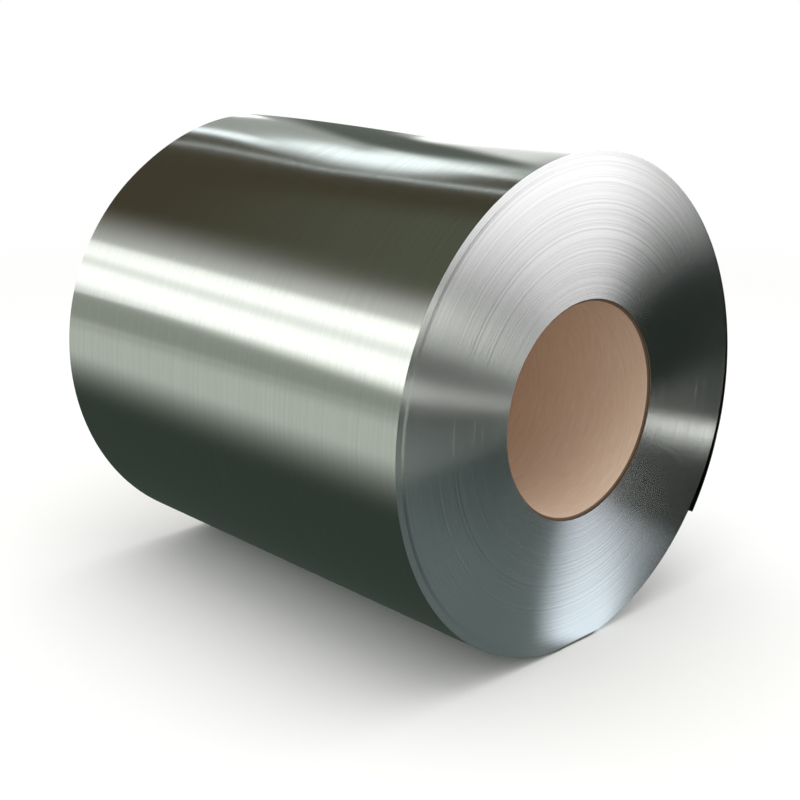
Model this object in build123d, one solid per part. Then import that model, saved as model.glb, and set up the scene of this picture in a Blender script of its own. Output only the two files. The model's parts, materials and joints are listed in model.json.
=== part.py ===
from build123d import *

import os
from math import cos, pi, radians, sin

# Steel coil: cold-rolled strip wound on a cardboard core, lying on its side with the bore level.
# Millimetres, +Z up. The coil's axis lies along X, and the floor is Z = 0, below the middle of the coil.
# The strip's free end is on the +Y side, and the end whose outer turns are pulled back is at +X.
# Angles round the coil start at +Y and rise towards +Z.

# Driving dimensions of the strip and of the coil that it makes
STRIP_WIDTH = 1250.0
STRIP_GAUGE = 2.0
COIL_DIAMETER = 1150.0
COIL_BORE = 508.0

# Cardboard core that lines the coil's bore
CORE_WALL = 6.0
CORE_SETBACK = 5.0
CORE_EDGE_BREAK = 1.5
CORE_FIT_GAP = 0.25

# Turns on the coil's ends, which moved a little sideways as they were wound
TURN_GROUPS = 11
TURN_STAGGER = 1.2
GROUP_CROWDING_SHARE = 1.35
OUTER_TURNS_DEPTH = 22.0
OUTER_TURNS_PULLED_BACK = 2.0

# Loose outer turn: its free end has sprung away from the coil
TAIL_ANGLE = -36.0
TAIL_ARC = 96.0
TAIL_LIFT = 20.0

# Buckle in the loose outer turn, over the top, open at the back end and gone halfway along the coil
BUCKLE_ANGLE = 76.0
BUCKLE_ARC = 70.0
BUCKLE_HEIGHT = 27.0
BUCKLE_LENGTH = 640.0
BUCKLE_TAPER_SHARE = 3.0
BUCKLE_SINK = 2.0
BUCKLE_STATION_SHARES = (0.0, 0.35, 0.7, 0.96)

# Sizes that follow from the driving ones
COIL_RADIUS = COIL_DIAMETER / 2
BORE_RADIUS = COIL_BORE / 2
CORE_RADIUS = BORE_RADIUS - CORE_FIT_GAP
OUTER_TURNS_RADIUS = COIL_RADIUS - OUTER_TURNS_DEPTH
BACK_END = -STRIP_WIDTH / 2 - OUTER_TURNS_PULLED_BACK
GOLDEN_ANGLE = pi * (3 - 5**0.5)

# Coil section seen from the front: local x is +Y, local y is +Z, and the normal is +X
SECTION = Plane(origin=(0, 0, 0), x_dir=(0, 1, 0), z_dir=(1, 0, 0))


def at_angle(radius, degrees):
    """Point of the coil's section at that radius and angle."""
    return Vector(radius * cos(radians(degrees)), radius * sin(radians(degrees)))


def stagger(group):
    """How far a group of turns stands out at the front end; every other group keeps its place."""
    return TURN_STAGGER * sin(group * GOLDEN_ANGLE) * (group % 2)


def group_radius(group):
    """Inner radius of a group of turns; the groups are narrower near the bore."""
    share = (group / TURN_GROUPS) ** GROUP_CROWDING_SHARE
    return BORE_RADIUS + (OUTER_TURNS_RADIUS - BORE_RADIUS) * share


def inner_turns():
    """The tightly wound turns as one turned solid, stepped on both ends where groups of turns moved."""
    front, back = [], []
    for group in range(TURN_GROUPS):
        for radius in (group_radius(group), group_radius(group + 1)):
            front.append((STRIP_WIDTH / 2 + stagger(group), radius))
            back.append((-STRIP_WIDTH / 2 + stagger(group), radius))
    half_section = make_face(Polyline(*front, *reversed(back), close=True))
    return revolve(half_section, Axis.X)


def outer_turns():
    """The last turns, pulled back at the front end, and the free end on an arc of larger radius."""
    spring = TAIL_LIFT / (1 - cos(radians(TAIL_ARC)))
    lift_off = TAIL_ANGLE + TAIL_ARC
    arc_centre = -at_angle(spring, lift_off)
    outer_radius = COIL_RADIUS + spring
    inner_radius = outer_radius - STRIP_GAUGE

    def on_tail(radius, share):
        return arc_centre + at_angle(radius, lift_off - TAIL_ARC * share)

    disc = Circle(COIL_RADIUS)
    tail = make_face(
        [
            ThreePointArc(on_tail(outer_radius, 0), on_tail(outer_radius, 0.5), on_tail(outer_radius, 1)),
            Line(on_tail(outer_radius, 1), on_tail(inner_radius, 1)),
            ThreePointArc(on_tail(inner_radius, 1), on_tail(inner_radius, 0.5), on_tail(inner_radius, 0)),
            Line(on_tail(inner_radius, 0), on_tail(outer_radius, 0)),
        ]
    )
    ring = disc + tail - Circle(OUTER_TURNS_RADIUS)
    return extrude(SECTION.offset(BACK_END) * ring, STRIP_WIDTH)


def buckle_section(size_share, sink):
    """Low arch that rises out of the coil and falls back into it, with its foot sunk into the coil."""
    foot_radius = COIL_RADIUS - sink * size_share
    first = at_angle(foot_radius, BUCKLE_ANGLE - BUCKLE_ARC / 2 * size_share)
    last = at_angle(foot_radius, BUCKLE_ANGLE + BUCKLE_ARC / 2 * size_share)
    crest = at_angle(COIL_RADIUS + BUCKLE_HEIGHT * size_share, BUCKLE_ANGLE)
    arch = ThreePointArc(first, crest, last)
    foot = ThreePointArc(last, at_angle(foot_radius - sink * size_share, BUCKLE_ANGLE), first)
    return make_face([arch, foot])


def buckle_bulge(size_share, sink):
    """Bulge that stays full from the back end, then tapers off fast, at that share of the buckle's size."""
    sections = []
    for station_share in BUCKLE_STATION_SHARES:
        place = SECTION.offset(BACK_END + BUCKLE_LENGTH * size_share * station_share)
        left = 1 - station_share**BUCKLE_TAPER_SHARE
        sections.append(place * buckle_section(size_share * left, sink))
    return loft(sections)


def buckle():
    """The buckled turn, one gauge thick, with the hollow under it open at the back end."""
    hollow_share = 1 - STRIP_GAUGE / BUCKLE_HEIGHT
    return buckle_bulge(1, BUCKLE_SINK * 2) - buckle_bulge(hollow_share, BUCKLE_SINK)


def steel_coil():
    """The wound strip: one piece from the bore to the sprung outer end."""
    return inner_turns() + outer_turns() + buckle()


def cardboard_core():
    """Plain tube, just shorter than the strip is wide, with the inner edges broken at both ends."""
    length = STRIP_WIDTH - 2 * CORE_SETBACK
    ring = Circle(CORE_RADIUS) - Circle(CORE_RADIUS - CORE_WALL)
    tube = extrude(SECTION.offset(-length / 2) * ring, length)
    mouths = tube.edges().filter_by(GeomType.CIRCLE).sort_by(SortBy.RADIUS)[:2]
    return chamfer(mouths, CORE_EDGE_BREAK)


os.makedirs("parts", exist_ok=True)
on_floor = Pos(0, 0, COIL_RADIUS)
for name, piece in {"steel_coil": steel_coil(), "cardboard_core": cardboard_core()}.items():
    placed = on_floor * piece
    export_step(placed, f"parts/{name}.step")
    print(name, len(placed.solids()), "solid, volume", round(placed.volume), placed.bounding_box())
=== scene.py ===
# %% [markdown]
# # A coil of steel strip, lying on its side
#
# A rolling mill ends its work by winding a long strip of sheet steel on a cardboard tube. The coil in
# this lesson is such a roll: a bright, smooth side, two ends where the edges of the turns show as fine
# rings, a loose outer turn whose free end has sprung off, and a kraft cardboard core in the bore.
#
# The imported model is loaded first. It gives the real size and place of the two pieces, and nothing here
# moves or resizes it. The new meshes are modelled around its measures.

# %% Load the frame and keep its box
import json
import math
import random

import bpy
from mathutils import Matrix, Vector


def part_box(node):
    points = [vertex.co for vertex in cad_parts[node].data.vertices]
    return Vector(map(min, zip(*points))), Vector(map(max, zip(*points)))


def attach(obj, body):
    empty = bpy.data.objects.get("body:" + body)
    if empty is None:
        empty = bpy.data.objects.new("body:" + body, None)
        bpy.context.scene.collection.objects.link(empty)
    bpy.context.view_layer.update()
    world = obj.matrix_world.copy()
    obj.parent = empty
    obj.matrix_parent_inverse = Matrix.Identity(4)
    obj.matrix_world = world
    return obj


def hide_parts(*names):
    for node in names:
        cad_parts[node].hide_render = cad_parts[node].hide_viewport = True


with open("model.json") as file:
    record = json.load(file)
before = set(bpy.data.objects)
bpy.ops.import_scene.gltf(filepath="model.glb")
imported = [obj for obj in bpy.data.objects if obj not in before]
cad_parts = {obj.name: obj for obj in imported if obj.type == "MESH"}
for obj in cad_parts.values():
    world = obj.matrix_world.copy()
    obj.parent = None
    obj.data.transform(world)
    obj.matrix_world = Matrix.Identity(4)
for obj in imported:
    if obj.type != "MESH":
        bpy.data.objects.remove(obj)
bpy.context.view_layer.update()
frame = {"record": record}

# %% [markdown]
# ## Measures
#
# The frame's boxes and its bore give most measures: the floor is at zero, the coil's axis lies along X,
# and the side away from the free end is a plain cylinder, so its reach is the coil's radius. What a box
# can't tell, such as the strip's gauge or where the loose turn leaves the coil, is named here in metres
# and degrees. Angles round the coil start at +Y and rise towards +Z, as seen from the front end at +X.

# %% Measures of the coil
coil_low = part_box("steel_coil")[0]
core_low, core_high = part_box("cardboard_core")
bore_mount = next(mount for mount in frame["record"]["mounts"] if mount["name"] == "core_bore")

AXIS_HEIGHT = (core_low.z + core_high.z) / 2
COIL_RADIUS = -coil_low.y
CORE_RADIUS = core_high.y
CORE_BORE_RADIUS = bore_mount["dims"]["r_mm"] / 1000
CORE_EDGE_BREAK = 0.0015

GAUGE = 0.002
FIT_GAP = 0.00025
PULLED_BACK = 0.002
OUTER_TURNS_DEPTH = 0.022
STRIP_WIDTH = 2 * (-coil_low.x - PULLED_BACK)
FRONT = STRIP_WIDTH / 2
BACK = -STRIP_WIDTH / 2

TAIL_ANGLE = -36
TAIL_ARC = 96
TAIL_LIFT = 0.020
LIFT_OFF_ANGLE = TAIL_ANGLE + TAIL_ARC

BUCKLE_ANGLE = 76
BUCKLE_ARC = 70
BUCKLE_HEIGHT = 0.027
BUCKLE_LENGTH = 0.680
BUCKLE_TAPER = 1.5

AXIS_POINT = Vector((0, 0, AXIS_HEIGHT))
print("axis height and coil radius:", round(AXIS_HEIGHT, 4), round(COIL_RADIUS, 4))
print("strip width:", round(STRIP_WIDTH, 4))

# %% [markdown]
# ## Camera
#
# The camera is matched to the photograph before anything is modelled, because every later comparison
# depends on it. The two rims and the bore are ellipses in the photograph, and a camera that sees all three
# in the right place stands a little over three metres away, above and to the left of the front end.

# %% Camera at the photograph's viewing angle
CAMERA_AZIMUTH = 46.56
CAMERA_ELEVATION = 15.89
CAMERA_DISTANCE = 3.245
CAMERA_AIM_RIGHT = 0.020
CAMERA_AIM_DOWN = 0.099
# Lens and sensor are in millimetres.
CAMERA_LENS = 56.5
CAMERA_SENSOR = 36

bpy.ops.object.camera_add()
camera = bpy.context.object
camera.name = "photo_camera"
camera.data.lens = CAMERA_LENS
camera.data.sensor_width = CAMERA_SENSOR
camera.rotation_euler = (math.radians(90 - CAMERA_ELEVATION), 0, math.radians(CAMERA_AZIMUTH))
to_camera = camera.rotation_euler.to_matrix()
camera.location = AXIS_POINT + to_camera @ Vector((CAMERA_AIM_RIGHT, -CAMERA_AIM_DOWN, CAMERA_DISTANCE))
bpy.context.scene.camera = camera
print("camera at", [round(v, 3) for v in camera.location])

# %% [markdown]
# ## Helpers for modelling by hand
#
# Operators work on what is selected, and the frame's nodes are still selected after loading. So each new
# piece starts by deselecting everything. A profile is drawn point by point with extrude, as one would by
# holding E and moving the mouse, and then spun round the coil's axis.

# %% Helpers for profiles and spinning
# Points that are nearer than this are one point.
SAME_PLACE = 1e-6


def round_coil(radius, degrees, x=0.0):
    """Point at that radius and angle round the coil's axis."""
    angle = math.radians(degrees)
    return Vector((x, radius * math.cos(angle), AXIS_HEIGHT + radius * math.sin(angle)))


def new_edge(name, start, end):
    """Starts a piece from a plane primitive that is cut down to one edge from start to end, in edit mode."""
    bpy.ops.object.select_all(action="DESELECT")
    bpy.ops.mesh.primitive_plane_add(size=1)
    piece = bpy.context.object
    piece.name = name
    bpy.ops.object.mode_set(mode="EDIT")
    bpy.ops.mesh.select_all(action="DESELECT")
    bpy.ops.object.mode_set(mode="OBJECT")
    for vertex in piece.data.vertices:
        vertex.select = vertex.co.y > 0
    bpy.ops.object.mode_set(mode="EDIT")
    bpy.ops.mesh.delete(type="VERT")
    bpy.ops.object.mode_set(mode="OBJECT")
    for vertex, place in zip(piece.data.vertices, (start, end)):
        vertex.co = place
    bpy.ops.object.mode_set(mode="EDIT")
    bpy.ops.mesh.select_all(action="SELECT")
    return piece


def select_vertices(piece, chosen):
    """Selects the vertices whose place passes the test, and stays in edit mode."""
    bpy.ops.mesh.select_mode(type="VERT")
    bpy.ops.mesh.select_all(action="DESELECT")
    bpy.ops.object.mode_set(mode="OBJECT")
    for vertex in piece.data.vertices:
        vertex.select = chosen(vertex.co)
    bpy.ops.object.mode_set(mode="EDIT")


def draw_profile(name, points):
    """Closed profile in the half-plane above the axis: each point is (along the axis, radius)."""
    places = [round_coil(radius, 90, x) for x, radius in points]
    piece = new_edge(name, places[0], places[1])
    select_vertices(piece, lambda co: (co - places[1]).length < SAME_PLACE)
    for here, there in zip(places[1:], places[2:]):
        bpy.ops.mesh.extrude_region_move(TRANSFORM_OT_translate={"value": there - here})
    bpy.ops.mesh.select_all(action="SELECT")
    return piece


def turn_profile(piece, steps):
    """Spins the whole profile once round the coil's axis and closes the seam."""
    # A face closes the profile, and only its edges are kept.
    bpy.ops.mesh.edge_face_add()
    bpy.ops.mesh.delete(type="ONLY_FACE")
    bpy.ops.mesh.select_all(action="SELECT")
    bpy.ops.mesh.spin(steps=steps, angle=math.tau, center=AXIS_POINT, axis=(1, 0, 0))
    bpy.ops.mesh.select_all(action="SELECT")
    bpy.ops.mesh.remove_doubles(threshold=SAME_PLACE)
    bpy.ops.mesh.normals_make_consistent(inside=False)
    bpy.ops.object.mode_set(mode="OBJECT")
    return piece


# %% [markdown]
# ## The wound turns
#
# Strip that is 2 mm thick fills the space from the core to the outside in about 160 turns. Every turn is
# as wide as the next, and each moves a little sideways while it is wound, so a turn that stands out at
# the front lies deeper at the back. The turns are drawn as steps of one profile: each turn is one small
# step of its own, on top of a slower drift shared by its neighbours. The last 22 mm of turns are pulled
# back at the front, as in the photograph, and the first three of them take up the difference.

# %% Wind the turns
TURN_STEPS = 112
# How far a turn stands out by itself, and how far every other group of turns does
TURN_JITTER = 0.00008
TURN_STAGGER = 0.0004
TURN_SEED = 7
# Groups are narrower near the bore. The golden angle keeps them from repeating.
TURN_GROUPS = 11
GROUP_CROWDING = 1.35
GOLDEN_ANGLE = math.pi * (3 - math.sqrt(5))
# Depth over which the turns step back to the outer band, three turns
PULL_BACK_DEPTH = 0.006

rng = random.Random(TURN_SEED)
inner_radius = CORE_RADIUS + FIT_GAP
outer_radius = COIL_RADIUS - GAUGE
band_radius = COIL_RADIUS - OUTER_TURNS_DEPTH
turn_count = round((outer_radius - inner_radius) / GAUGE)
turn_pitch = (outer_radius - inner_radius) / turn_count


def sideways(radius):
    """How far a turn at that radius stands out at the front end."""
    jitter = rng.uniform(-TURN_JITTER, TURN_JITTER)
    if radius > band_radius:
        return jitter - PULLED_BACK * min((radius - band_radius) / PULL_BACK_DEPTH, 1)
    share = (radius - inner_radius) / (band_radius - inner_radius)
    group = int(TURN_GROUPS * share ** (1 / GROUP_CROWDING))
    return jitter + TURN_STAGGER * math.sin(group * GOLDEN_ANGLE) * (group % 2)


front_points = []
back_points = []
for turn in range(turn_count):
    low = inner_radius + turn * turn_pitch
    offset = sideways(low + turn_pitch / 2)
    for radius in (low, low + turn_pitch):
        front_points.append((FRONT + offset, radius))
        back_points.append((BACK + offset, radius))

turns = draw_profile("wound_turns", front_points + back_points[::-1])
turn_profile(turns, TURN_STEPS)
print("wound turns:", turn_count, "turns,", len(turns.data.polygons), "faces")

# %% [markdown]
# ## The loose outer turn
#
# The outermost turn is a sheet of its own: it lies on the coil for most of the way round, leaves it at
# about one o'clock, and springs out on a slightly larger arc to its sheared end. Two spins of one edge
# make it, one round the coil's axis and one round the centre of the larger arc. On top, the slack turn
# has buckled: it stands off at the back end and comes down towards the front. A weighted Displace lifts
# the sheet there, before Solidify gives it the strip's gauge.

# %% Spin the outer turn
# Cuts along the coil, and degrees from one step to the next round it
OUTER_TURN_CUTS = 47
OUTER_TURN_STEP = 2.0

spring = TAIL_LIFT / (1 - math.cos(math.radians(TAIL_ARC)))
spring_centre = round_coil(-spring, LIFT_OFF_ANGLE)
turn_front = FRONT - PULLED_BACK
turn_back = BACK - PULLED_BACK
outer_turn = new_edge(
    "outer_turn",
    round_coil(COIL_RADIUS, LIFT_OFF_ANGLE, turn_back),
    round_coil(COIL_RADIUS, LIFT_OFF_ANGLE, turn_front),
)
bpy.ops.mesh.subdivide(number_cuts=OUTER_TURN_CUTS)
bpy.ops.mesh.spin(
    steps=round(TAIL_ARC / OUTER_TURN_STEP),
    angle=math.radians(TAIL_ARC),
    center=spring_centre,
    axis=(1, 0, 0),
)
lift_off_place = round_coil(COIL_RADIUS, LIFT_OFF_ANGLE)
select_vertices(outer_turn, lambda co: (co - lift_off_place).yz.length < SAME_PLACE)
bpy.ops.mesh.spin(
    steps=round((360 - TAIL_ARC) / OUTER_TURN_STEP),
    angle=math.radians(TAIL_ARC - 360),
    center=AXIS_POINT,
    axis=(1, 0, 0),
)
bpy.ops.mesh.select_all(action="SELECT")
bpy.ops.mesh.remove_doubles(threshold=SAME_PLACE)
bpy.ops.mesh.normals_make_consistent(inside=False)
bpy.ops.object.mode_set(mode="OBJECT")
first_face = outer_turn.data.polygons[0]
if first_face.normal.dot(first_face.center - AXIS_POINT) < 0:
    outer_turn.data.flip_normals()
print("outer turn sheet:", len(outer_turn.data.polygons), "faces")

# %% Lift the buckle and give the sheet its gauge
# The swell reaches this many times as far as the buckle's foot. The other share eases its low end.
RUN_OUT_SHARE = 1.5
EASE_SHARE = 0.1


def buckle_weight(co):
    """Share of the buckle's height there: a swell that runs out smoothly round the coil and along it."""
    along = max(co.x - turn_back, 0) / BUCKLE_LENGTH
    angle = math.degrees(math.atan2(co.z - AXIS_HEIGHT, co.y))
    off_crest = (angle - BUCKLE_ANGLE) / (BUCKLE_ARC / 2 * RUN_OUT_SHARE)
    if along >= 1 or abs(off_crest) >= 1:
        return 0.0
    left = 1 - along**BUCKLE_TAPER
    eased = left**2 * (1 + EASE_SHARE) / (left + EASE_SHARE)
    return eased * math.cos(math.pi / 2 * off_crest) ** 2


buckle_group = outer_turn.vertex_groups.new(name="buckle")
for vertex in outer_turn.data.vertices:
    weight = buckle_weight(vertex.co)
    if weight > 0:
        buckle_group.add([vertex.index], weight, "REPLACE")

buckle = outer_turn.modifiers.new("buckle", "DISPLACE")
buckle.vertex_group = "buckle"
buckle.strength = BUCKLE_HEIGHT
buckle.mid_level = 0
sheet = outer_turn.modifiers.new("gauge", "SOLIDIFY")
sheet.thickness = GAUGE
sheet.offset = -1
bpy.context.view_layer.objects.active = outer_turn
for modifier in (buckle.name, sheet.name):
    bpy.ops.object.modifier_apply(modifier=modifier)
outer_turn.vertex_groups.clear()
print("outer turn:", len(outer_turn.data.polygons), "faces")

# %% [markdown]
# ## The cardboard core
#
# The core is a tube of kraft board that ends just inside the coil. Its profile is a plain ring with the
# inner edge broken, where mandrels and hands have rounded it.

# %% Turn the core
CORE_STEPS = 128

core_profile = [
    (core_high.x, CORE_RADIUS),
    (core_low.x, CORE_RADIUS),
    (core_low.x, CORE_BORE_RADIUS + CORE_EDGE_BREAK),
    (core_low.x + CORE_EDGE_BREAK, CORE_BORE_RADIUS),
    (core_high.x - CORE_EDGE_BREAK, CORE_BORE_RADIUS),
    (core_high.x, CORE_BORE_RADIUS + CORE_EDGE_BREAK),
]
core = draw_profile("cardboard_tube", core_profile)
turn_profile(core, CORE_STEPS)
print("core:", len(core.data.polygons), "faces")

# %% [markdown]
# ## One strip
#
# On the real coil the wound turns and the loose outer turn are one length of strip, so the two meshes are
# joined. Shading is smooth round the coil and stays crisp at the edges of the turns, which meet at a steeper
# angle than the facets round the coil do.

# %% Join the strip into one piece
SMOOTH_ANGLE = 30

bpy.ops.object.select_all(action="DESELECT")
outer_turn.select_set(True)
turns.select_set(True)
bpy.context.view_layer.objects.active = turns
bpy.ops.object.join()
strip = turns
strip.name = "steel_strip"
for piece in (strip, core):
    bpy.ops.object.select_all(action="DESELECT")
    piece.select_set(True)
    bpy.context.view_layer.objects.active = piece
    bpy.ops.object.shade_smooth_by_angle(angle=math.radians(SMOOTH_ANGLE))
print("strip:", len(strip.data.polygons), "faces")

# %% [markdown]
# ## Helpers for materials
#
# Colours are named by their sRGB hex value, matched to the photograph, and one function turns them into
# the linear values that a shader wants. One small function adds a node, sets it up and links it, and
# three short ones use it for what comes up most: results of two numbers or two vectors, and mixed colours.

# %% Helpers for materials
def linear(hex_colour):
    """Linear colour of an sRGB hex value."""
    values = [int(hex_colour[i : i + 2], 16) / 255 for i in (0, 2, 4)]
    return (*[v / 12.92 if v <= 0.04045 else ((v + 0.055) / 1.055) ** 2.4 for v in values], 1)


def add(material, kind, settings=None, **inputs):
    """Adds a node: settings are its own properties, and inputs are values or sockets to link.

    An input is named, with _ for a space, or numbered, as in _0.
    """
    node = material.node_tree.nodes.new(kind)
    for name, value in (settings or {}).items():
        setattr(node, name, value)
    for name, value in inputs.items():
        socket = node.inputs[int(name[1:])] if name[0] == "_" else node.inputs[name.replace("_", " ")]
        if isinstance(value, bpy.types.NodeSocket):
            material.node_tree.links.new(value, socket)
        else:
            socket.default_value = value
    return node


def number_math(material, operation, first, second):
    """Socket of a sum, quotient or other result of two numbers."""
    return add(material, "ShaderNodeMath", {"operation": operation}, _0=first, _1=second).outputs[0]


def vector_math(material, operation, first, second):
    """Socket of a difference, product or other result of two vectors."""
    return add(material, "ShaderNodeVectorMath", {"operation": operation}, _0=first, _1=second).outputs[0]


def mix(material, factor, first, second):
    """Socket of a colour that goes from the first to the second as the factor rises."""
    mixed = add(material, "ShaderNodeMix", {"data_type": "RGBA"}, Factor=factor, _6=first, _7=second)
    return mixed.outputs[2]


def new_material(name):
    """Material with an empty node tree, and its output node."""
    material = bpy.data.materials.new(name)
    material.use_nodes = True
    material.node_tree.nodes.clear()
    return material, material.node_tree.nodes.new("ShaderNodeOutputMaterial")


# %% [markdown]
# ## Lines that follow the strip
#
# Everything on this object runs round its axis: the rolling lines on the strip, the edges of the turns and
# the fibres of the core. They could be painted on an unwrapped image, but a coil has no good place for a
# seam. Noise in object coordinates needs no unwrapping: it is squeezed across the strip and drawn out round
# the coil, so the sizes below are real ones, in metres.

# %% Directions and lines
# Finer lines on top of the main ones, and how strong they are
LINE_DETAIL = 3.0
LINE_ROUGHNESS = 0.65


def round_the_axis(material):
    """Sockets of the place, of the spoke from the axis to it, and of the spoke's length."""
    place = add(material, "ShaderNodeTexCoord").outputs["Object"]
    from_axis = vector_math(material, "SUBTRACT", place, AXIS_POINT)
    spoke = vector_math(material, "MULTIPLY", from_axis, (0, 1, 1))
    radius = add(material, "ShaderNodeVectorMath", {"operation": "LENGTH"}, _0=spoke)
    return place, spoke, radius.outputs["Value"]


def across_the_strip(material, spoke):
    """Direction across the rolling lines: along the axis on the side, outwards on the ends."""
    around = vector_math(material, "CROSS_PRODUCT", (1, 0, 0), spoke)
    normal = add(material, "ShaderNodeNewGeometry").outputs["Normal"]
    return vector_math(material, "CROSS_PRODUCT", around, normal)


def lines_round_the_coil(material, place, radius, spacing, length):
    """Noise drawn out into lines that run round the coil, that far apart and about that long, in metres."""
    x, y, z = add(material, "ShaderNodeSeparateXYZ", _0=place).outputs
    across = number_math(material, "ADD", x, radius)
    place_across = add(material, "ShaderNodeCombineXYZ", X=across, Y=y, Z=z).outputs[0]
    stretched = vector_math(material, "DIVIDE", place_across, (spacing, length, length))
    noise = add(
        material,
        "ShaderNodeTexNoise",
        Vector=stretched,
        Scale=1.0,
        Detail=LINE_DETAIL,
        Roughness=LINE_ROUGHNESS,
    )
    return noise.outputs["Fac"]


# %% [markdown]
# ## Cold-rolled steel
#
# Cold rolling leaves the strip bright, with very fine lines along its length, and a thin film of oil keeps
# it free of rust. So the side mirrors the hall in long soft bands. The ends are a stack of slit edges, which
# are rougher and spread each light into a fan. A mirror with a scratch map would do, but a metal shader
# with an anisotropic highlight spreads light across the lines as the real ones do, at any distance. One
# function makes both finishes, because they differ only in how rough and how far apart the lines are.

# %% Cold-rolled steel
# Rolling lines are hundredths of a millimetre apart. They are coarsened to 8 mm bands, half a metre long.
ROLLING_LINE_SPACING = 0.008
ROLLING_LINE_LENGTH = 0.5
# Each slit edge is 2 mm wide and is modelled. The tint over the edges is coarsened to bands of 5 mm.
EDGE_RING_SPACING = 0.005
EDGE_RING_LENGTH = 6.0
# Depth of the lines, a tenth of a millimetre on the face and less on the edges, and the share that shows
FACE_LINE_DEPTH = 0.0001
EDGE_LINE_DEPTH = 0.00004
LINE_RELIEF = 0.15
# The middle part of the noise, which the darker and the paler tint share between them
LINE_LOW = 0.3
LINE_HIGH = 0.7


def steel(name, dark_hex, pale_hex, roughness, spread, anisotropy, spacing, length, depth):
    """Bare steel whose lines change its tint, its roughness by the spread and, a little, its relief."""
    material, output = new_material(name)
    place, spoke, radius = round_the_axis(material)
    lines = lines_round_the_coil(material, place, radius, spacing, length)
    paleness = add(material, "ShaderNodeMapRange", Value=lines, From_Min=LINE_LOW, From_Max=LINE_HIGH)
    polish = add(
        material,
        "ShaderNodeMapRange",
        Value=lines,
        From_Min=LINE_LOW,
        From_Max=LINE_HIGH,
        To_Min=roughness + spread,
        To_Max=roughness - spread,
    )
    relief = add(material, "ShaderNodeBump", Strength=LINE_RELIEF, Distance=depth, Height=lines)
    shader = add(
        material,
        "ShaderNodeBsdfPrincipled",
        Base_Color=mix(material, paleness.outputs[0], linear(dark_hex), linear(pale_hex)),
        Metallic=1.0,
        Roughness=polish.outputs[0],
        Anisotropic=anisotropy,
        Tangent=across_the_strip(material, spoke),
        Normal=relief.outputs[0],
    )
    material.node_tree.links.new(shader.outputs[0], output.inputs[0])
    return material


face_lines = (ROLLING_LINE_SPACING, ROLLING_LINE_LENGTH, FACE_LINE_DEPTH)
edge_lines = (EDGE_RING_SPACING, EDGE_RING_LENGTH, EDGE_LINE_DEPTH)
rolled_face = steel("cold_rolled_steel_face", "C0C4BD", "C8CCC5", 0.12, 0.012, 0.7, *face_lines)
slit_edges = steel("slit_steel_edges", "BABDB8", "CFD2CD", 0.22, 0.015, 1.0, *edge_lines)
print("steel finishes:", rolled_face.name, "and", slit_edges.name)

# %% [markdown]
# ## Kraft board
#
# The core is made of paper plies that are glued in a spiral, so a faint seam winds along the tube. The
# faces of the plies are matt, pale brown and fibrous; the cut ends are painted darker, as painted shade
# that stands in for the shadow on them. The seam could be a groove in the mesh, but it is only a line of
# glue, so it is drawn from the angle round the axis and the place along it.

# %% Kraft board
# One turn of the spiral moves 280 mm along the tube, and the seam is 3 mm wide and only faintly darker.
PLY_PITCH = 0.28
SEAM_WIDTH = 0.003
SEAM_SHADE = "7A5C46"
SEAM_STRENGTH = 0.15
# Paper fibres are a few millimetres long. They are coarsened to streaks of 5 by 50 mm.
FIBRE_SPACING = 0.005
FIBRE_LENGTH = 0.05
# Plies are about a millimetre thick and run all the way round.
PLY_THICKNESS = 0.0012
PLY_LENGTH = 0.6
# Depth of the fibres, two tenths of a millimetre, and the share that shows
FIBRE_DEPTH = 0.0002
FIBRE_RELIEF = 0.25
# The middle part of the noise, which the darker and the paler tint share between them
FIBRE_LOW = 0.25
FIBRE_HIGH = 0.75
BOARD_ROUGHNESS = 0.85


def kraft(name, dark_hex, pale_hex, fibre_spacing, fibre_length):
    """Matt board with fibres or plies that run round it, and a faint seam that winds along the tube."""
    material, output = new_material(name)
    place, spoke, radius = round_the_axis(material)
    fibres = lines_round_the_coil(material, place, radius, fibre_spacing, fibre_length)
    x = add(material, "ShaderNodeSeparateXYZ", _0=place).outputs[0]
    _, y, z = add(material, "ShaderNodeSeparateXYZ", _0=spoke).outputs
    turn = number_math(material, "DIVIDE", number_math(material, "ARCTAN2", z, y), math.tau)
    winding = number_math(material, "ADD", turn, number_math(material, "DIVIDE", x, PLY_PITCH))
    ply = add(material, "ShaderNodeMath", {"operation": "FRACT"}, _0=winding)
    seam = add(
        material,
        "ShaderNodeMapRange",
        Value=ply.outputs[0],
        From_Max=SEAM_WIDTH / PLY_PITCH,
        To_Min=SEAM_STRENGTH,
        To_Max=0,
    )
    paleness = add(material, "ShaderNodeMapRange", Value=fibres, From_Min=FIBRE_LOW, From_Max=FIBRE_HIGH)
    mottled = mix(material, paleness.outputs[0], linear(dark_hex), linear(pale_hex))
    relief = add(material, "ShaderNodeBump", Strength=FIBRE_RELIEF, Distance=FIBRE_DEPTH, Height=fibres)
    shader = add(
        material,
        "ShaderNodeBsdfPrincipled",
        Base_Color=mix(material, seam.outputs[0], mottled, linear(SEAM_SHADE)),
        Roughness=BOARD_ROUGHNESS,
        Normal=relief.outputs[0],
    )
    material.node_tree.links.new(shader.outputs[0], output.inputs[0])
    return material


kraft_board = kraft("kraft_board", "DABFA6", "E5CFB9", FIBRE_SPACING, FIBRE_LENGTH)
# The cut ends of the plies are painted darker than the board, as painted shade on the ends.
shaded_ply_ends = kraft("kraft_ply_ends_painted_shade", "5E4838", "7E6450", PLY_THICKNESS, PLY_LENGTH)
print("board finishes:", kraft_board.name, "and", shaded_ply_ends.name)

# %% [markdown]
# ## Which face has which finish
#
# A face that looks along the axis is an edge of the strip or a cut end of the core. All others are rolled
# face or paper face. The face normal tells them apart, so no selection has to be made by hand.

# %% Give each face its finish
# A face looks along the axis when its normal goes further than this along X.
ALONG_THE_AXIS = 0.5

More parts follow.
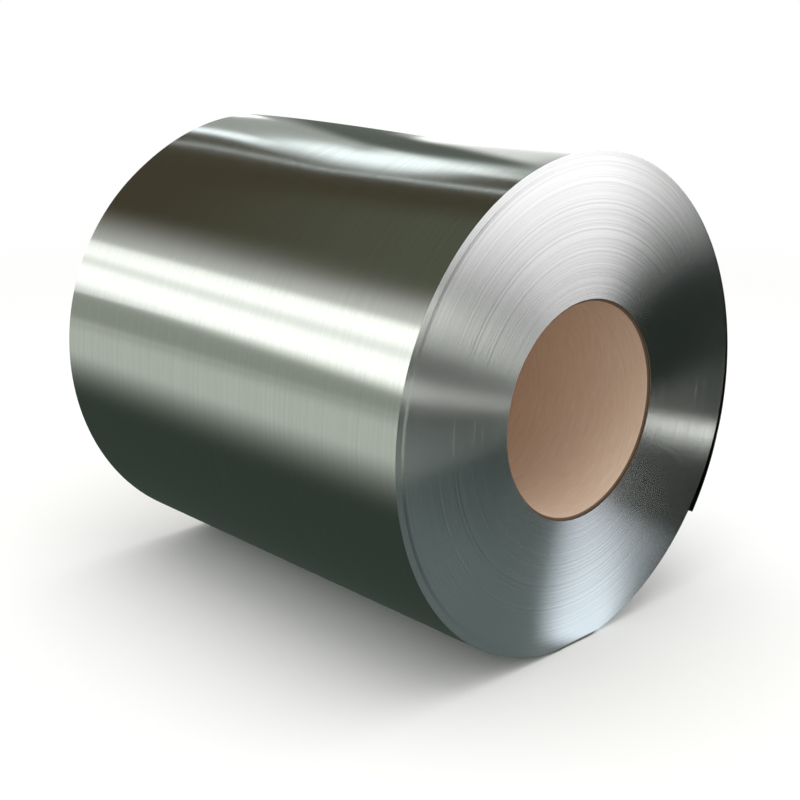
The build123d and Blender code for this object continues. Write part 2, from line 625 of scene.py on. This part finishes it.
for piece, finishes in ((strip, (rolled_face, slit_edges)), (core, (kraft_board, shaded_ply_ends))):
    piece.data.materials.clear()
    for finish in finishes:
        piece.data.materials.append(finish)
    for face in piece.data.polygons:
        face.material_index = int(abs(face.normal.x) > ALONG_THE_AXIS)
    end_faces = sum(face.material_index for face in piece.data.polygons)
    print(piece.name, "has", end_faces, "faces that look along the axis")

# %% [markdown]
# ## Back to the frame
#
# The two finished pieces take the places of the frame's two nodes, which are hidden. Nothing on a
# coil moves, so both ride on the root.

# %% Tie the pieces to the frame
for piece, node, slot in ((strip, "steel_coil", "steel_strip"), (core, "cardboard_core", "kraft_cardboard")):
    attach(piece, "root")
    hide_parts(node)
    print(piece.name, "replaces", node, "in slot", slot)

# %% [markdown]
# ## Floor and world
#
# In the photograph the coil is cut out on plain white, with no shadow. Here it stands on a matt, nearly
# white floor that catches a soft shadow, so that its weight shows. Further out the floor melts into the
# white of the world, and no horizon shows.

# %% Floor
FLOOR_SIZE = 60
FADE_START = 2.5
FADE_END = 7.0

bpy.ops.object.select_all(action="DESELECT")
bpy.ops.mesh.primitive_plane_add(size=FLOOR_SIZE)
floor = bpy.context.object
floor.name = "studio_floor"
floor_paint, floor_output = new_material("pale_floor")
floor_place = add(floor_paint, "ShaderNodeTexCoord").outputs["Object"]
floor_distance = add(floor_paint, "ShaderNodeVectorMath", {"operation": "LENGTH"}, _0=floor_place)
floor_fade = add(
    floor_paint,
    "ShaderNodeMapRange",
    {"interpolation_type": "SMOOTHSTEP"},
    Value=floor_distance.outputs["Value"],
    From_Min=FADE_START,
    From_Max=FADE_END,
)
floor_matt = add(floor_paint, "ShaderNodeBsdfDiffuse", Color=linear("F4F4F2"))
floor_white = add(floor_paint, "ShaderNodeEmission", Strength=1.0)
floor_mix = add(
    floor_paint,
    "ShaderNodeMixShader",
    _0=floor_fade.outputs[0],
    _1=floor_matt.outputs[0],
    _2=floor_white.outputs[0],
)
floor_paint.node_tree.links.new(floor_mix.outputs[0], floor_output.inputs[0])
floor_paint.cycles.emission_sampling = "NONE"
floor.data.materials.append(floor_paint)
print("floor melts into white from", FADE_START, "to", FADE_END, "m")

# %% White world
world = bpy.data.worlds.new("white_studio")
bpy.context.scene.world = world
world.use_nodes = True
world.node_tree.nodes["Background"].inputs["Color"].default_value = (1, 1, 1, 1)
world.node_tree.nodes["Background"].inputs["Strength"].default_value = 1.0
world.cycles.sampling_method = "NONE"
bpy.context.scene.view_settings.view_transform = "Standard"
print("world:", world.name)

# %% [markdown]
# ## What the steel mirrors
#
# Bright metal shows little of its own: nearly all that is seen on it is the hall around it. In the
# photograph that is a dark roof with strip lights, windows on the left, a wall, a post and windows on the
# right, and a dark floor with daylight on it. A panorama would bring all of it at once, but a few soft-edged
# boards can be put exactly where the photograph's bands need them. Only reflections see the boards, so the
# floor and the background stay white. Their places are in metres, with the coil at the origin.

# %% Helper for boards
def panel(name, start, end, width, hex_colour, strength=1.0, facing=None, fades=(0.0, 0.0), end_fade=0.0):
    """Soft-edged board that only the metal's reflections see, and only from the side that it faces.

    Its middle line runs from start to end. It faces the coil, or the given direction. The fades are the
    shares of its width that melt away at its two long edges, the edge on its own -Y side first, and the
    end fade is the share of its length that melts away at each end.
    """
    start, end = Vector(start), Vector(end)
    along = (end - start).normalized()
    normal = Vector(facing) if facing else AXIS_POINT - (start + end) / 2
    normal = (normal - along * normal.dot(along)).normalized()
    matrix = Matrix((along, normal.cross(along), normal)).transposed().to_4x4()
    matrix.translation = (start + end) / 2
    bpy.ops.object.select_all(action="DESELECT")
    bpy.ops.mesh.primitive_plane_add(size=1)
    board = bpy.context.object
    board.name = name
    board.matrix_world = matrix @ Matrix.Diagonal(((end - start).length, width, 1, 1))

    paint, output = new_material(name)
    place = add(paint, "ShaderNodeSeparateXYZ", _0=add(paint, "ShaderNodeTexCoord").outputs["Object"])
    shade = add(paint, "ShaderNodeEmission", Color=linear(hex_colour), Strength=strength).outputs[0]
    clear = add(paint, "ShaderNodeBsdfTransparent").outputs[0]
    # Before it is stretched, the plane is 1 m wide, so its edges are half a metre from its middle.
    edges = (("Y", -0.5, fades[0]), ("Y", 0.5, fades[1]), ("X", -0.5, end_fade), ("X", 0.5, end_fade))
    for axis, edge, share in edges:
        if share:
            ramp = add(
                paint,
                "ShaderNodeMapRange",
                {"interpolation_type": "SMOOTHSTEP"},
                Value=place.outputs[axis],
                From_Min=edge,
                From_Max=edge - math.copysign(share, edge),
            )
            shade = add(paint, "ShaderNodeMixShader", _0=ramp.outputs[0], _1=clear, _2=shade).outputs[0]
    behind = add(paint, "ShaderNodeNewGeometry").outputs["Backfacing"]
    shade = add(paint, "ShaderNodeMixShader", _0=behind, _1=shade, _2=clear).outputs[0]
    paint.node_tree.links.new(shade, output.inputs[0])
    paint.cycles.emission_sampling = "NONE"
    board.data.materials.append(paint)
    board.visible_camera = False
    board.visible_diffuse = False
    board.visible_transmission = False
    board.visible_shadow = False
    return board


# The far and the near end of boards that run along the coil, and the two ways that level boards face
FAR = -14
NEAR = 2
UP = (0, 0, 1)
DOWN = (0, 0, -1)
# Colours that several boards share
ROOF = "504A3C"
TUBE_LIGHT = "F2FAFF"
DAYLIGHT = "FFFFFF"

# %% [markdown]
# The roof is dark brown-grey. A row of strip lights runs along it on the right; its far part shows as the
# sharp bright line near the coil's back rim, and its near part as the soft band over the top.

# %% Roof and strip lights
panel("dark_ceiling", (FAR, -0.33, 4.1), (NEAR, -1.77, 4.1), 5.6, ROOF, fades=(0.0, 0.43))
panel("paler_ceiling", (-5.5, -1.2, 4.0), (1.0, -1.2, 4.0), 4.0, "636658", 1.0, None, (0.3, 0.3), 0.5)
panel("ceiling_beam", (-12, 2.4, 4.05), (-1.5, 1.0, 4.05), 1.5, ROOF, facing=DOWN)
panel("beam_end", (-2.8, 2.62, 3.9), (-1.0, 2.62, 3.9), 3.15, "C0C4C2")
panel("far_strip", (-12, 4.27, 4.0), (-4.7, 2.17, 4.0), 0.52, TUBE_LIGHT, 1.9, DOWN, (0.4, 0.15), 0.05)
panel("near_strip", (-5.3, 2.92, 4.02), (-2.75, 1.9, 4.02), 2.0, TUBE_LIGHT, 1.8, DOWN, (0.45, 0.45), 0.2)
panel("thin_strip", (-12, 2.0, 3.95), (-1.5, 1.0, 3.95), 0.10, TUBE_LIGHT, 1.2, DOWN)
print("roof: four dark or grey boards and three strip lights")

# %% [markdown]
# Two rows of windows on the left make the pair of white bands along the side, and the wall under them makes
# the grey-green band below.

# %% Left side
panel("left_window_high", (FAR, -4.0, 4.77), (NEAR, -4.0, 2.0), 1.3, DAYLIGHT, 1.9, fades=(0.24, 0.45))
panel("left_window_low", (FAR, -4.0, 3.42), (NEAR, -4.0, 1.01), 1.5, DAYLIGHT, 1.9, fades=(0.35, 0.37))
panel("left_wall", (FAR, -4.2, 0.8), (NEAR, -4.2, 0.8), 1.6, "A6ABA2", fades=(0.0, 0.45))
print("left side: two rows of windows and a wall")

# %% [markdown]
# The right side shows only along the top edge of the coil: a grey wall, a dark post that draws the dark
# line along the buckle, a far light, and a window that bleaches the top near the front.

# %% Right side
panel("right_wall", (FAR, 4.3, 3.2), (-5.2, 4.3, 3.2), 4.8, "ACB0AC")
panel("far_light", (-6.35, 4.15, 1.6), (-6.35, 4.15, 2.6), 0.6, DAYLIGHT, 2.2, None, (0.3, 0.3), 0.25)
panel("right_post", (-4.85, 4.2, 0.0), (-4.85, 4.2, 6.0), 1.4, "646A64", fades=(0.3, 0.3))
panel("right_side_window", (-4.2, 4.1, 1.45), (-1.0, 4.1, 1.45), 2.9, DAYLIGHT, 1.8, None, (0.0, 0.3), 0.1)
print("right side: wall, far light, post and window")

# %% [markdown]
# The hall's floor is dark on both sides of the coil and pale further left. In front of the end it carries
# patches of daylight, and each one is a fan on the end: a bluish sheen near the coil at six o'clock, a
# streak at half past three, a path at half past nine, and the window's long patch from ten o'clock on.

# %% Floor in the mirror
panel("far_floor", (FAR, -7.4, 0.004), (NEAR, -7.4, 0.004), 13, "D6DAD4", 1.0, UP, (0.0, 0.09))
panel("left_floor", (FAR, -1.0, 0.002), (NEAR, -1.0, 0.002), 2, "3E4842", 1.0, UP)
panel("right_floor", (FAR, 7.0, 0.002), (14, 7.0, 0.002), 14, "202520", 1.0, UP)
panel("front_floor", (0.62, -0.1, 0.006), (2.45, 0.76, 0.006), 1.0, "6E7A7B", 1.0, UP, (0.2, 0.2))
panel(
    "sheen_on_floor", (0.585, -0.04, 0.008), (1.16, 0.83, 0.008), 0.25, "E6F0FF", 1.6, UP, (0.35, 0.35), 0.1
)
panel("window_on_floor", (3.2, 2.2, 0.006), (8.5, 3.9, 0.006), 1.2, DAYLIGHT, 2.2, UP, (0.25, 0.25))
panel("path_on_floor", (2.8, 1.2, 0.006), (4.8, 0.75, 0.006), 0.45, DAYLIGHT, 2.8, UP, (0.25, 0.25))
panel("streak_on_floor", (1.12, 1.75, 0.008), (1.7, 1.49, 0.008), 0.3, DAYLIGHT, 2.3, UP, (0.3, 0.3))
print("floor: four dark or pale areas and four patches of light")

# %% [markdown]
# In front, a tall window to the right makes the white fan at twelve o'clock. The dark room behind the
# camera keeps the fans apart. The core is matt and mirrors nothing, but the dark floor in front of it takes
# the light from the top of its bore: the last board is that floor, and only the matt core sees it.

# %% Front
panel("right_window", (4.0, 1.84, 1.45), (2.42, 3.19, 1.45), 2.8, "FBF7FE", 2.4, None, (0.0, 0.14), 0.15)
panel("behind_camera", (5.0, 0.7, 3.9), (3.4, -5.0, 3.9), 5.2, "33352F", fades=(0.1, 0.1))
panel("low_flag", (5.0, -0.3, 0.42), (4.9, 2.2, 0.42), 0.84, "22241F", fades=(0.0, 0.1))
core_card = panel("dark_floor_for_core", (0.64, 2.2, 0.004), (8, 2.2, 0.004), 5.8, "3A3632", 1.0, UP)
core_card.visible_diffuse = True
core_card.visible_glossy = False
print("front: one window, two dark boards and a dark floor for the core")

# %% [markdown]
# ## Lamp
#
# One large soft lamp overhead gives the shadow under the coil. The steel doesn't mirror it, because the
# photograph has no round light in it.

# %% Soft lamp overhead
LAMP_PLACE = (0.5, -0.5, 5)
LAMP_SIZE = 5
LAMP_POWER = 90

bpy.ops.object.light_add(type="AREA", location=LAMP_PLACE)
lamp = bpy.context.object
lamp.name = "soft_top_lamp"
lamp.data.shape = "DISK"
lamp.data.size = LAMP_SIZE
lamp.data.energy = LAMP_POWER
lamp.visible_glossy = False
print("lamp:", lamp.name, lamp.data.energy, "W")
